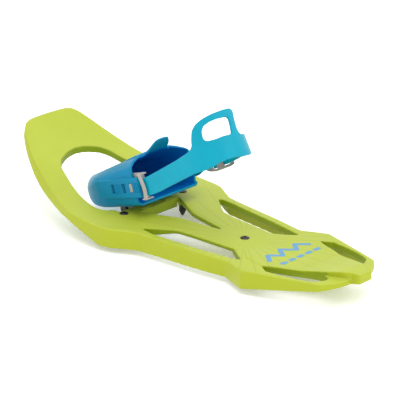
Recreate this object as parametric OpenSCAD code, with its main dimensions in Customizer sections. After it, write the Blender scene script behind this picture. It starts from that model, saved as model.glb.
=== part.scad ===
// Child's moulded snowshoe with a tilting toe-cup binding and one heel strap.
// Units are millimetres. +X is the toe, +Y the left side, +Z up.
// The shoe stands on its three spike tips at z = 0.

/* [Frame] */
// Half width at the widest part of the shoulder
shoulder_w = 91.3; // [86:0.1:94]
// Thickness of the moulded deck
deck_t = 3.2; // [2.4:0.1:4]
// Thickness of the outer and inner skirts
skirt_t = 3; // [2.4:0.1:4]
// How far the outer skirt leans out between its upper edge and its middle
skirt_lean = 1.3; // [0:0.1:1.6]
// Radius of the upswept toe, seen from the side
rocker_r = 262; // [250:1:280]
// Diameter of the round bosses that carry the spikes
boss_d = 10.6; // [10:0.1:12]

/* [Spikes] */
// Diameter of a spike
spike_d = 8.2; // [7:0.1:8.6]
// How far a spike tip reaches below the skirt
spike_drop = 6.4; // [4:0.1:9]
// Diameter of a screw shank
screw_d = 4; // [3:0.1:4.6]
// Diameter of a screw head
head_d = 9.2; // [8:0.1:10]

/* [Binding] */
// Nose-down angle of the cup at rest
cup_pitch = 17.5; // [14:0.1:18]
// Half width of the cup outside its walls
cup_w = 46.2; // [45:0.1:47]
// Wall thickness of the cup
cup_t = 2.6; // [2:0.1:3]
// Length of the cup from sole edge to toe
cup_len = 125; // [122:1:127]
// Diameter of the hinge axle
axle_d = 5; // [4:0.1:5.4]
// Radial clearance between the axle and its bushes
axle_fit = 0.05; // [0.02:0.01:0.1]

/* [Strap] */
// Tilt of the heel strap against the horizontal
strap_tilt = 30; // [28:0.5:32]
// Inner radius of the heel strap behind the heel
strap_r = 38; // [36:0.5:39]
// Thickness of the moulded strap
strap_t = 3.4; // [3:0.1:3.6]

/* [Hidden] */
$fn = 64;

green = "yellowgreen";
blue = "deepskyblue";
grey = "darkgray";

ox = 11.9;            // puts the origin under the middle of the length
oz = spike_drop;     // puts the spike tips at z = 0
e = 0.01;

// --- side profile of the deck top -----------------------------------------
arc_x0 = 55;
arc_z0 = 22.3;
function arc_top(x) = arc_z0 + rocker_r - sqrt(rocker_r * rocker_r - (x - arc_x0) * (x - arc_x0));
top_line = concat([[-256, 22.4], [-225, 22.3], [-200, 21.9], [-150, 20.9], [-112, 18.9],
                   [-95, 19.1], [-30, 19.9], [20, 21.4]],
                  [for (i = [0:1:14]) let (x = arc_x0 + i * 12.4) [x, arc_top(x)]]);
low_line = [[228.6, 77.5], [215, 66.5], [201, 55], [178, 39.5], [160, 30.5], [141, 24.5],
            [118, 19.3], [95, 15.2], [48, 0], [-143, 0], [-225, 13.5], [-256, 19.5]];
tail_top = [[-256, 28.6], [-240, 29.4], [-231, 29.2], [-214, 25.9], [-192, 22.4],
            [-158, 20.9], [-112, 19.2]];

module along_y(pts, w = 240) {
    translate([0, w / 2, 0]) rotate([90, 0, 0]) linear_extrude(w) polygon(pts);
}
// the deck's solid between its top line, moved down by a, and a flat line far below
module under_top(a) {
    along_y(concat([for (p = top_line) [p[0], p[1] - a]], [[240, -40], [-256, -40]]));
}
module over_low() {
    along_y(concat([[-256, 140], [240, 140], [240, 86]], low_line));
}

// --- plan outlines (half outlines, mirrored by full) ------------------------
sw = shoulder_w / 91.3;
top_half = [[228.4, 0], [228.2, 17], [227.6, 26], [224.6, 35], [219.4, 41.4], [208, 48.2],
                [196.4, 53.8], [185, 59.2], [173, 63.8], [160.6, 68], [150, 71.8], [130, 79],
                [112, 85 * sw], [95, 90 * sw], [77, 91.3 * sw], [60, 91.2 * sw], [45, 90.8 * sw],
                [34, 88.5 * sw], [26, 84], [18, 79], [5, 72], [-15, 69.8], [-48, 66.5],
                [-81, 63], [-111, 58], [-124, 62.3], [-143, 69], [-176, 58.6], [-202, 51.6],
                [-226.6, 43.4], [-234, 34], [-240, 22], [-242, 11], [-252.2, 10], [-252.2, 0]];
// the toe's skirt leans out more than the rest
function lean(x) = skirt_lean * (1 + 0.7 * max(0, min((x - 90) / 60, 1)));
outline_half = [for (p = top_half) [p[0], p[1] > 12 ? p[1] + lean(p[0]) : p[1]]];
front_half = [[181.3, 0], [180.2, 10], [178, 18], [172.5, 30.5], [163.5, 38], [150, 42.6],
              [135, 48.6], [116, 54.2], [98, 58], [86, 58.8], [78, 56.6], [73, 52.5],
              [70.5, 48.6], [66.5, 45.8], [61, 45.8], [61, 0]];
vee_half = [[44.7, 0], [44.7, 29.8], [22, 18.8], [5, 10.2], [-10, 7.2], [-28, 4.6], [-48, 1], [-48, 0]];
mid_slot = [[10.5, 59], [1, 52], [-8, 44.6], [-18.7, 37], [-38, 34.4], [-62, 32.8], [-95.7, 30.2],
            [-120.6, 46.4], [-104, 50.2], [-70, 55.2], [-38, 58.6], [-4, 62.2], [8, 61.4]];
tail_slot = [[-150.7, 46.3], [-158, 42.5], [-180, 35], [-192, 30], [-202, 26.2], [-214, 23],
             [-222, 24], [-224, 31], [-218.6, 40.5], [-211, 44.4], [-197, 48.2], [-181, 51.4], [-163, 53.4]];
plate_half = [[-104, 0], [-104, 22], [-122, 40], [-150.7, 47], [-158, 43], [-180, 35.5], [-192, 30.5],
              [-202, 26.7], [-214, 23], [-225, 19], [-237, 14], [-242, 10.4], [-252.2, 10], [-252.2, 0]];

function flip(h) = [for (i = [len(h) - 1:-1:0]) if (h[i][1] > 0.001) [h[i][0], -h[i][1]]];
function full(h) = concat(h, flip(h));
function mirr(p) = [for (i = [len(p) - 1:-1:0]) [p[i][0], -p[i][1]]];
// moves every edge of a closed polygon sideways by t, to the left of its direction
function unit(v) = v / norm(v);
function nrm(a, b) = let (u = unit(b - a)) [-u[1], u[0]];
function shift_poly(p, t) = [for (i = [0:len(p) - 1])
    let (a = p[(i + len(p) - 1) % len(p)], b = p[i], c = p[(i + 1) % len(p)],
         n1 = nrm(a, b), n2 = nrm(b, c), k = max(1 + n1 * n2, 0.35))
    b + (n1 + n2) * t / k];

outline = full(outline_half);
inner_line = shift_poly(outline, -skirt_t * turn(outline));
function area2(p) = let (s = [for (i = [0:len(p) - 1]) let (a = p[i], b = p[(i + 1) % len(p)]) a[0] * b[1] - a[1] * b[0]]) sum(s);
function sum(v, i = 0) = i < len(v) ? v[i] + sum(v, i + 1) : 0;
function turn(p) = area2(p) > 0 ? -1 : 1;
function grow(p, t) = shift_poly(p, t * turn(p));

module openings() {
    polygon(full(front_half));
    polygon(full(vee_half));
    polygon(mid_slot);
    polygon(mirr(mid_slot));
    polygon(tail_slot);
    polygon(mirr(tail_slot));
}
module wide_openings(t, with_vee = true) {
    polygon(grow(full(front_half), t));
    if (with_vee) polygon(grow(full(vee_half), t));
    polygon(grow(mid_slot, t));
    polygon(grow(mirr(mid_slot), t));
    polygon(grow(tail_slot, t));
    polygon(grow(mirr(tail_slot), t));
}

// --- frame --------------------------------------------------------------
spike_spots = [[54.2, 46], [54.2, -46], [-84.2, 0]];
spot_top = [22.4, 22.4, 19.4];
axis_x = 72;
ear_y = 21.7;         // middle of each hinge ear from the centre line
axis_z = 17.5;
ear_r = 6;
bush_r = 4;

// the hollow under the deck: full below the short skirts of the openings
module hollow(depth) {
    intersection() {
        translate([0, 0, -60]) linear_extrude(180) difference() {
            polygon(inner_line);
            children();
        }
        under_top(depth);
    }
}
module deck_shell() {
    difference() {
        intersection() {
            translate([0, 0, -1]) linear_extrude(120) difference() {
                polygon(outline);
                openings();
            }
            under_top(0);
            over_low();
        }
        hollow(deck_t) wide_openings(2.4);
        hollow(5.4) wide_openings(2.4, false);
        hollow(7.4) square(0.001);
    }
}
module tail_plate() {
    intersection() {
        linear_extrude(40) difference() {
            polygon(full(plate_half));
            polygon(tail_slot);
            polygon(mirr(tail_slot));
        }
        along_y(concat(tail_top, [[-112, 14.6], [-158, 15.6], [-192, 18], [-231, 20.6], [-256, 20.2]]));
    }
}
module platform_ribs() {
    // closed front and rear walls of the bridge and the two hinge ears
    for (s = [-1, 1]) {
        translate([axis_x, s * ear_y + 4.2, axis_z]) rotate([90, 0, 0]) cylinder(h = 8.4, r = ear_r);
        translate([57, s * ear_y - 4.2, axis_z - ear_r]) cube([axis_x - 57, 8.4, ear_r * 2 - 1.2]);
    }
    // rear wall of the bridge and three ribs under it
    translate([44.7, -29, 11]) cube([2.6, 58, 9.4]);
    for (s = [-1, 0, 1]) translate([46, s * 24 - 1.2, 10.4]) cube([15, 2.4, 10]);
    translate([58.6, -45.8, 10.4]) cube([2.4, 91.6, 10]);
}
module deck_frame() place() color(green) {
    difference() {
        union() {
            deck_shell();
            tail_plate();
            platform_ribs();
            for (i = [0:2]) translate([spike_spots[i][0], spike_spots[i][1], 3.6])
                cylinder(h = spot_top[i] - 3.6 - 1, d = boss_d);
        }
        for (i = [0:2]) {
            translate([spike_spots[i][0], spike_spots[i][1], 0]) cylinder(h = 14.02, d = spike_d);
            translate([spike_spots[i][0], spike_spots[i][1], 0]) cylinder(h = 40, d = screw_d);
            translate([spike_spots[i][0], spike_spots[i][1], spot_top[i] - 1.4]) cylinder(h = 10, d = head_d + 0.6);
        }
        for (s = [-1, 1]) translate([axis_x, s * ear_y + 5, axis_z]) rotate([90, 0, 0])
            cylinder(h = 10, r = bush_r);
        for (s = [-1, 1]) translate([51.5 - 4.1, s * 18 - 6.1, 21.5]) cube([8.2, 12.2, 4]);
    }
}
module place() { translate([ox, 0, oz]) children(); }

// --- spikes and screws ----------------------------------------------------
module spike(i) {
    place() translate([spike_spots[i][0], spike_spots[i][1], -spike_drop]) color("dimgray") difference() {
        rotate_extrude() polygon([[0, 0], [1.3, 0], [spike_d / 2, 5.4], [spike_d / 2, spike_drop + 14], [0, spike_drop + 14]]);
        translate([0, 0, spike_drop + 5]) cylinder(h = 12, d = screw_d);
    }
}
module screw(i) {
    place() translate([spike_spots[i][0], spike_spots[i][1], 0]) color("black") difference() {
        union() {
            translate([0, 0, 6]) cylinder(h = spot_top[i] - 1.4 - 6, d = screw_d);
            translate([0, 0, spot_top[i] - 1.4]) rotate_extrude() polygon([[0, 0], [head_d / 2, 0], [head_d / 2, 1.1], [head_d / 2 - 0.9, 2], [0, 2]]);
        }
        translate([0, 0, spot_top[i] - 0.9]) cylinder(h = 3, r = 1.9, $fn = 6);
    }
}
module front_spike_left() { spike(0); }
module front_spike_right() { spike(1); }
module rear_spike() { spike(2); }
module front_screw_left() { screw(0); }
module front_screw_right() { screw(1); }
module rear_screw() { screw(2); }

// --- hinge of the binding ---------------------------------------------------
module on_axis(y0, y1) {
    place() translate([axis_x, y1, axis_z]) rotate([90, 0, 0]) linear_extrude(y1 - y0) children();
}
module axle() {
    color("silver") on_axis(-ear_y - 7.5, ear_y + 7.5) circle(d = axle_d);
}
module bush(s) {
    color("ivory") on_axis(s * ear_y - 4.2, s * ear_y + 4.2) difference() {
        circle(r = bush_r);
        circle(r = axle_d / 2 + axle_fit);
    }
}
module axle_bush_left() { bush(1); }
module axle_bush_right() { bush(-1); }
module washer(s) {
    color("ivory") on_axis(s * (ear_y - 4.9) - 0.5, s * (ear_y - 4.9) + 0.5) difference() {
        circle(r = 5.4);
        circle(r = axle_d / 2 + axle_fit);
    }
}
module axle_washer_left() { washer(1); }
module axle_washer_right() { washer(-1); }
module axle_cap(s) {
    color("dimgray") {
        on_axis(min(s * (ear_y + 4.6), s * (ear_y + 7.5)), max(s * (ear_y + 4.6), s * (ear_y + 7.5))) difference() {
            circle(r = 4.6);
            circle(d = axle_d);
        }
        on_axis(min(s * (ear_y + 7.5), s * (ear_y + 8.3)), max(s * (ear_y + 7.5), s * (ear_y + 8.3))) circle(r = 4.6);
    }
}
module axle_cap_left() { axle_cap(1); }
module axle_cap_right() { axle_cap(-1); }
module rest_pad(s) {
    place() translate([51.5, s * 18, 21.5]) color(green)
        linear_extrude(1.6) square([8, 12], center = true);
}
module rest_pad_left() { rest_pad(1); }
module rest_pad_right() { rest_pad(-1); }

// --- toe cup ------------------------------------------------------------
// f runs forward along the sole, y to the left, w up from the sole's underside
cup_x = 28.6;
cup_z = 38.4;
axis_f = (axis_x - cup_x) * cos(cup_pitch) - (axis_z - cup_z) * sin(cup_pitch);
axis_w = (axis_x - cup_x) * sin(cup_pitch) + (axis_z - cup_z) * cos(cup_pitch);
module on_cup() { place() translate([cup_x, 0, cup_z]) rotate([0, cup_pitch, 0]) children(); }

// plan outline of the cup, t inside the outer surface
function cup_plan(t) = full(concat(
    [[cup_len - t, 0]],
    [for (a = [8:8:88]) [cup_len - t - (80 - t) * (1 - cos(a)), (cup_w - t) * pow(sin(a), 1.2)]],
    [[cup_len - 80, cup_w - t], [t > 0 ? -8 : 0, cup_w - t], [t > 0 ? -8 : 0, 0]]));
// side outline of the cup, t inside
function cup_side(t, back) = concat(
    [[back, t], [cup_len - 34, t]],
    [for (a = [15:15:75]) [cup_len - 34 + (33.5 - t) * sin(a), t + (15 - t) * (1 - cos(a))]],
    [[cup_len - 0.4 - t, 16], [cup_len - 2 - t, 20], [cup_len - 6 - t, 24.6 - t * 0.6], [cup_len - 12 - t, 27.8 - t],
     [cup_len - 22, 31.4 - t], [72, 37.8 - t], [42, 45.2 - t], [9, 53 - t], [back, 53 - t]]);
// section outline of the cup, seen from behind, t inside
function half_section(t) = [[0, t], [cup_w - 3 - t, t], [cup_w - 1.2 - t, 5], [cup_w - t, 9], [cup_w - t, 34],
    [cup_w - 1.6 - t, 38.6 - t * 0.4], [39, 43.4 - t * 0.9], [32, 47.9 - t], [22, 51.4 - t],
    [12, 52.8 - t], [0, 53 - t]];
function cup_section(t) = let (h = half_section(t))
    concat(h, [for (i = [len(h) - 2:-1:1]) [-h[i][0], h[i][1]]]);
module cup_body(t, back) {
    intersection() {
        translate([0, 0, -2]) linear_extrude(70) polygon(cup_plan(t));
        translate([0, 60, 0]) rotate([90, 0, 0]) linear_extrude(120) polygon(cup_side(t, back));
        rotate([90, 0, 90]) translate([0, 0, back - 1]) linear_extrude(160) polygon(cup_section(t));
    }
}
module side_plate(s, f0, f1, w0, w1, y0, y1) {
    translate([f0, s > 0 ? y0 : -y1, w0]) cube([f1 - f0, y1 - y0, w1 - w0]);
}
arm_end = [-7, -21.5];
function arm_of(s) = s > 0 ? arm_end[0] : arm_end[1];
hinge_f = -17;
hinge_w = 20.8;
module toe_cup() on_cup() color(blue) {
    difference() {
        union() {
            difference() {
                cup_body(0, 0);
                cup_body(cup_t, -5);
                // rear of the cap, the open instep, and the low walls beside the heel
                translate([-10, -60, cup_t]) cube([13, 120, 60]);
                translate([0, 60, 0]) rotate([90, 0, 0]) linear_extrude(120)
                    polygon([[-5, 39.4], [2, 39.4], [9, 52], [9, 60], [-5, 60]]);
            }
            for (s = [-1, 1]) {
                side_plate(s, arm_of(s), 52, 9, 31.5, cup_w - 0.4, cup_w + 2.2);
                translate([axis_f, s * 11 + 5, axis_w]) rotate([90, 0, 0]) cylinder(h = 10, r = ear_r);
                translate([axis_f - 6, s * 11 - 5, axis_w]) cube([12, 10, 8.5]);
            }
            // tongue over the instep
            intersection() {
                translate([-12, -14, 40]) cube([60, 28, 40]);
                translate([0, 20, 0]) rotate([90, 0, 0]) linear_extrude(40)
                    polygon([[46, 44.2], [9, 53], [-1, 60.6], [-7, 66], [-8.6, 64.4], [-2.4, 58.4], [8, 50.2], [46, 41.6]]);
            }
        }
        // row of slots for the clip, both sides
        for (s = [-1, 1], f = [6, 17.8, 35.6])
            side_plate(s, f - 2.5, f + 2.5, 15.4, 25.6, cup_w - 8, cup_w + 6);
        // long vents beside the tongue
        for (s = [-1, 1]) translate([44, s * 22.2 - 1.2, 28]) cube([27, 2.4, 40]);
        translate([axis_f, 40, axis_w]) rotate([90, 0, 0]) cylinder(h = 80, d = axle_d + 2 * axle_fit);
        translate([hinge_f, -40, hinge_w]) rotate([90, 0, 0]) cylinder(h = 12, d = 5);
    }
}

// --- strap clip, left side ------------------------------------------------
module strap_clip_left() on_cup() color(grey) {
    y_in = cup_w - cup_t - 2;      // inner plate lies inside the cup's wall
    // inner plate with its two bridges to the outer bar
    translate([-13, y_in, 8.2]) cube([18, 1.6, 27.8]);
    for (w = [7.2, 34.4]) translate([-21, y_in, w]) cube([9, cup_w + 6.2 - y_in, 1.6]);
    // outer bar, bowed to the rear
    translate([0, cup_w + 6.2, 0]) rotate([90, 0, 0]) linear_extrude(1.8)
        polygon([[-12.6, 36], [-17, 36], [-20.2, 28], [-21.8, 21], [-22, 14], [-21, 7.2],
                 [-16.4, 7.2], [-17.4, 14], [-17.2, 21], [-15.8, 28]]);
    // peg through the slot of the cup's wall
    translate([3.75, cup_w - cup_t - 2, 15.7]) cube([4.5, cup_t + 4.4, 9.6]);
    translate([3, y_in, 15.7]) cube([5.2, 1.6, 9.6]);
}

// --- buckle slider, right side ----------------------------------------------
// s runs rearward and up along the strap from the swing axis, h is square to it
module on_strap() {
    on_cup() translate([hinge_f, 0, hinge_w]) rotate([0, -cup_pitch, 0]) rotate([0, strap_tilt, 0])
        mirror([1, 0, 0]) children();
}
module slab(y0, y1) { translate([0, y1, 0]) rotate([90, 0, 0]) linear_extrude(y1 - y0) children(); }
module strap_slider_right() on_strap() color(grey)
    slab(-50.3, -48.7) difference() {
        polygon([[-5, -6], [0, -9], [10, -11.4], [34, -12], [42, -10.8], [42, 12.4], [34, 13], [10, 11.6], [0, 9], [-5, 6]]);
        polygon([[7, -8.4], [14, -8.8], [14, 9], [7, 8.6]]);
        polygon([[25, -8.8], [36, -8.8], [36, 9.6], [25, 9.4]]);
        circle(d = 5 + 2 * axle_fit);
    }
module buckle_rivet_right() on_strap() color("silver") {
    translate([0, -44.2, 0]) rotate([90, 0, 0]) cylinder(h = 7, d = 5);
    translate([0, -44.3, 0]) rotate([90, 0, 0]) cylinder(h = 1.5, d = 8.4);
    translate([0, -50.4, 0]) rotate([90, 0, 0]) cylinder(h = 1.2, d = 8.4);
}

// --- heel strap ------------------------------------------------------------
bend_s = 64.6;        // from the swing axis to the start of the heel bend
ro = strap_r + strap_t;
module bend(a0, a1, r, t, h0, h1) {
    translate([bend_s, 0, h0]) rotate([0, 0, a0]) rotate_extrude(angle = a1 - a0)
        translate([r, 0]) square([t, h1 - h0]);
}
// a cutter through the wall of the pull handle, given across the strap and up it
module through(y0, y1, h0, h1) { translate([bend_s + 8, y0, h0]) cube([50, y1 - y0, h1 - h0]); }
leg_slope = (46.3 - strap_r) / (bend_s + 2);
module leg_left() {
    linear_extrude(80) polygon([[-5, 46.3 + 3 * leg_slope], [bend_s + 1, strap_r - leg_slope],
                                [bend_s + 1, ro - leg_slope], [-5, 46.3 + strap_t + 3 * leg_slope]]);
}
module leg_right() {
    linear_extrude(80) polygon([[27, -44.1], [bend_s + 1, -strap_r + 0.16], [bend_s + 1, -ro + 0.16], [29.5, -44.1 - strap_t]]);
}
module heel_strap() on_strap() color(blue) {
    intersection() {
        translate([0, 0, -30]) leg_left();
        slab(30, 60) polygon([[-2, -10.4], [16, -11], [44, -9.2], [bend_s + 3, -7],
                              [bend_s + 3, 17.9], [44, 15.4], [20, 11.4], [10, 9.4], [-2, 9.2]]);
    }
    // thick bead that keeps the strap in its clip
    translate([-3, 46.8, -8.6]) cube([3.6, 3.5, 17.2]);
    intersection() {
        translate([0, 0, -30]) leg_right();
        slab(-60, -30) polygon([[20, -8.8], [44, -8.4], [bend_s + 3, -7], [bend_s + 3, 17.9], [44, 12.6], [20, 8.6]]);
    }
    // tail threaded out through the slider
    translate([26.2, -53.2, -8.2]) cube([4.3, 11.6, 16.6]);
    translate([7, -53.4, -8]) cube([22, 2.5, 16.2]);
    bend(-90, 90, strap_r, strap_t, -7.2, 18);
    // pull handle, moulded a little to the left of the middle of the heel
    difference() {
        bend(-17, 67, strap_r + 0.2, strap_t - 0.4, 10, 45.6);
        through(-1.4, 27, 19.5, 38.6);
        through(26, 31, 23, 36);
        through(28, 60, 43.4, 50);
        through(32, 60, 40, 50);
        through(34.6, 60, 25, 50);
    }
}

deck_frame();
front_spike_left();
front_spike_right();
rear_spike();
front_screw_left();
front_screw_right();
rear_screw();
axle();
axle_bush_left();
axle_bush_right();
axle_washer_left();
axle_washer_right();
axle_cap_left();
axle_cap_right();
rest_pad_left();
rest_pad_right();
toe_cup();
strap_clip_left();
buckle_rivet_right();
strap_slider_right();
heel_strap();
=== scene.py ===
import bpy
import math
import numpy as np
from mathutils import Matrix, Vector


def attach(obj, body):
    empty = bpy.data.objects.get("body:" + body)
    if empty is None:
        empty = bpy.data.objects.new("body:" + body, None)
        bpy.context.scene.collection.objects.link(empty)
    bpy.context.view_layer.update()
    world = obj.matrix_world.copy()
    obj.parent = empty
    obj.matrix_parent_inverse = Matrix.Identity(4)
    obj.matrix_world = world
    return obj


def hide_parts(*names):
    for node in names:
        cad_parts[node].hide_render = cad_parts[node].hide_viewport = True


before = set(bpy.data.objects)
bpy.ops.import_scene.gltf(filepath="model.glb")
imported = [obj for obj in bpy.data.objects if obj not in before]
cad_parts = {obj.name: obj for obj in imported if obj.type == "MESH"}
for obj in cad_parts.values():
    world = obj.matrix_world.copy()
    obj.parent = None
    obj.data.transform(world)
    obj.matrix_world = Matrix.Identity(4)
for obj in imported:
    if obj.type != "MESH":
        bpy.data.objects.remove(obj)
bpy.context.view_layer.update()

# ---------------------------------------------------------------------------
# The deck's own coordinates are the row frame's, moved by OX and OZ, in mm.
OX, OZ = 11.9, 6.4
F32 = np.float32


# --- distance-field helpers -------------------------------------------------
def rounded(pts, radii, steps=5):
    """A closed polygon with its corners turned into arcs. radii is one number or one for each corner."""
    P = [np.array(p, float) for p in pts]
    n = len(P)
    R = [radii] * n if np.isscalar(radii) else list(radii)
    out = []
    for i in range(n):
        a, b, c = P[i - 1], P[i], P[(i + 1) % n]
        u, v = a - b, c - b
        lu, lv = np.linalg.norm(u), np.linalg.norm(v)
        u, v = u / lu, v / lv
        cosang = float(np.clip(np.dot(u, v), -1, 1))
        ang = math.acos(cosang)
        if R[i] <= 0 or ang > math.pi - 0.02:
            out.append(b)
            continue
        t = min(R[i] / math.tan(ang / 2), 0.49 * lu, 0.49 * lv)
        p0, p1 = b + u * t, b + v * t
        k = max(2, int(steps * (math.pi - ang) / 1.2) + 2)
        for j in range(k + 1):
            s = j / k
            out.append((1 - s) ** 2 * p0 + 2 * s * (1 - s) * b + s * s * p1)
    return np.array(out)


def poly_sd(P, X, Y):
    """Signed distance to a closed polygon, negative inside."""
    P = np.asarray(P, F32)
    X, Y = np.broadcast_arrays(np.asarray(X, F32), np.asarray(Y, F32))
    d = np.full(X.shape, 1e12, F32)
    inside = np.zeros(X.shape, bool)
    n = len(P)
    for i in range(n):
        a, b = P[i], P[(i + 1) % n]
        ex, ey = float(b[0] - a[0]), float(b[1] - a[1])
        ll = ex * ex + ey * ey
        if ll < 1e-10:
            continue
        wx, wy = X - a[0], Y - a[1]
        t = np.clip((wx * ex + wy * ey) / ll, 0, 1)
        dx, dy = wx - ex * t, wy - ey * t
        np.minimum(d, dx * dx + dy * dy, out=d)
        if ey != 0:
            c = (a[1] <= Y) != (b[1] <= Y)
            inside ^= c & (wx < wy * (ex / ey))
    return np.where(inside, -np.sqrt(d), np.sqrt(d)).astype(F32)


class Field:
    """A polygon's signed distance kept on a fine plane grid and read back by interpolation."""

    def __init__(self, polys, lo, hi, step=0.6, combine=np.minimum):
        self.lo, self.step = lo, step
        xs = np.arange(lo[0], hi[0] + step, step, dtype=F32)
        ys = np.arange(lo[1], hi[1] + step, step, dtype=F32)
        X, Y = xs[:, None], ys[None, :]
        D = None
        for p in polys:
            d = poly_sd(p, X, Y)
            D = d if D is None else combine(D, d)
        self.D = D

    def __call__(self, x, y):
        u = (np.asarray(x, F32) - self.lo[0]) / self.step
        v = (np.asarray(y, F32) - self.lo[1]) / self.step
        u, v = np.broadcast_arrays(u, v)
        nu, nv = self.D.shape
        u = np.clip(u, 0, nu - 1.001)
        v = np.clip(v, 0, nv - 1.001)
        i, j = u.astype(np.int32), v.astype(np.int32)
        fu, fv = u - i, v - j
        D = self.D
        return (D[i, j] * (1 - fu) * (1 - fv) + D[i + 1, j] * fu * (1 - fv)
                + D[i, j + 1] * (1 - fu) * fv + D[i + 1, j + 1] * fu * fv)


def both(a, b, r=0.0):
    """Where a and b are both inside, with the edge between them rounded to radius r."""
    if np.isscalar(r) and r <= 0:
        return np.maximum(a, b)
    ap, bp = np.maximum(a + r, 0), np.maximum(b + r, 0)
    return np.minimum(np.maximum(a, b), -r) + np.sqrt(ap * ap + bp * bp)


def either(a, b, r=0.0):
    """The union, with the inner corner filled to radius r."""
    if r <= 0:
        return np.minimum(a, b)
    return -both(-a, -b, r)


def smin(a, b, k):
    h = np.maximum(k - np.abs(a - b), 0) / k
    return np.minimum(a, b) - h * h * k * 0.25


def box_sd(x, y, z, lo, hi, r=0.0):
    """A box with rounded edges."""
    c = [(lo[i] + hi[i]) / 2 for i in range(3)]
    e = [(hi[i] - lo[i]) / 2 - r for i in range(3)]
    qx, qy, qz = np.abs(x - c[0]) - e[0], np.abs(y - c[1]) - e[1], np.abs(z - c[2]) - e[2]
    out = np.sqrt(np.maximum(qx, 0) ** 2 + np.maximum(qy, 0) ** 2 + np.maximum(qz, 0) ** 2)
    return out + np.minimum(np.maximum(np.maximum(qx, qy), qz), 0) - r


def smooth01(x, a, b):
    t = np.clip((x - a) / (b - a), 0, 1)
    return t * t * (3 - 2 * t)


def nets(f, lo, hi, h, refine=2):
    """Closed quad mesh of f = 0 on a grid of step h, with its points moved onto the true surface."""
    ax = [np.arange(lo[i] - 1.5 * h, hi[i] + 2.5 * h, h, dtype=F32) for i in range(3)]
    F = np.asarray(f(ax[0][:, None, None], ax[1][None, :, None], ax[2][None, None, :]), F32)
    S = F < 0
    c = np.zeros(tuple(n - 1 for n in S.shape), np.int8)
    for dx in (0, 1):
        for dy in (0, 1):
            for dz in (0, 1):
                c += S[dx:S.shape[0] - 1 + dx, dy:S.shape[1] - 1 + dy, dz:S.shape[2] - 1 + dz]
    act = (c > 0) & (c < 8)
    I, J, K = np.nonzero(act)
    idx = np.full(act.shape, -1, np.int32)
    idx[I, J, K] = np.arange(len(I), dtype=np.int32)
    P = np.zeros((len(I), 3), np.float64)
    W = np.zeros(len(I))
    corners = [(0, 0, 0), (1, 0, 0), (0, 1, 0), (1, 1, 0), (0, 0, 1), (1, 0, 1), (0, 1, 1), (1, 1, 1)]
    for a in corners:
        for axis in range(3):
            if a[axis]:
                continue
            b = list(a)
            b[axis] = 1
            fa = F[I + a[0], J + a[1], K + a[2]]
            fb = F[I + b[0], J + b[1], K + b[2]]
            m = (fa < 0) != (fb < 0)
            t = fa[m] / (fa[m] - fb[m])
            for d in range(3):
                P[m, d] += a[d] + (t if d == axis else 0)
            W[m] += 1
    P /= W[:, None]
    P += np.stack([I, J, K], 1)
    P = P * h + np.array([ax[0][0], ax[1][0], ax[2][0]])
    cell_lo = np.stack([I, J, K], 1) * h + np.array([ax[0][0], ax[1][0], ax[2][0]])
    del c, act
    quads = []
    for axis in range(3):
        u, v = [(1, 2), (2, 0), (0, 1)][axis]
        sl_a = [slice(1, -1)] * 3
        sl_b = [slice(1, -1)] * 3
        sl_a[axis] = slice(0, -1)
        sl_b[axis] = slice(1, None)
        A, B = S[tuple(sl_a)], S[tuple(sl_b)]
        N = np.stack(np.nonzero(A != B), 1)
        off = np.array([1, 1, 1])
        off[axis] = 0
        N = N + off
        down = S[N[:, 0], N[:, 1], N[:, 2]]
        du, dv = np.zeros(3, int), np.zeros(3, int)
        du[u], dv[v] = 1, 1
        q = [idx[tuple((N - du - dv).T)], idx[tuple((N - dv).T)], idx[tuple(N.T)], idx[tuple((N - du).T)]]
        q = np.stack(q, 1)
        q[~down] = q[~down][:, ::-1]
        quads.append(q)
    Q = np.concatenate(quads)
    Q = Q[(Q >= 0).all(1)]

    def grad(P):
        e = 0.08
        x, y, z = P[:, 0], P[:, 1], P[:, 2]
        g = np.stack([f(x + e, y, z) - f(x - e, y, z), f(x, y + e, z) - f(x, y - e, z), f(x, y, z + e) - f(x, y, z - e)], 1) / (2 * e)
        return g.astype(np.float64)

    for _ in range(refine):
        g = grad(P)
        v = np.asarray(f(P[:, 0], P[:, 1], P[:, 2]), np.float64)
        gg = np.maximum((g * g).sum(1), 0.2)
        P = P - g * (np.clip(v, -0.7 * h, 0.7 * h) / gg)[:, None]
        P = np.clip(P, cell_lo - 0.15 * h, cell_lo + 1.15 * h)
    g = grad(P)
    g /= np.maximum(np.linalg.norm(g, axis=1), 1e-6)[:, None]
    return P, Q, g


def mesh_object(name, P, Q, normals=None):
    me = bpy.data.meshes.new(name)
    me.vertices.add(len(P))
    me.vertices.foreach_set("co", (np.asarray(P) / 1000).astype(F32).ravel())
    me.loops.add(len(Q) * 4)
    me.loops.foreach_set("vertex_index", Q.astype(np.int32).ravel())
    me.polygons.add(len(Q))
    me.polygons.foreach_set("loop_start", (np.arange(len(Q)) * 4).astype(np.int32))
    me.polygons.foreach_set("loop_total", np.full(len(Q), 4, np.int32))
    me.update(calc_edges=True)
    me.validate()
    me.polygons.foreach_set("use_smooth", np.ones(len(me.polygons), bool))
    if normals is not None and len(me.vertices) == len(normals):
        me.normals_split_custom_set_from_vertices(normals.astype(F32))
    ob = bpy.data.objects.new(name, me)
    bpy.context.scene.collection.objects.link(ob)
    return ob


def frame_of(origin, ex, ey, ez):
    """Maps local mm to the row frame."""
    M = np.array([ex, ey, ez], float)
    o = np.array(origin, float)

    def to_row(P):
        return P @ M + o

    def normals(N):
        return N @ M
    return to_row, normals


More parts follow.
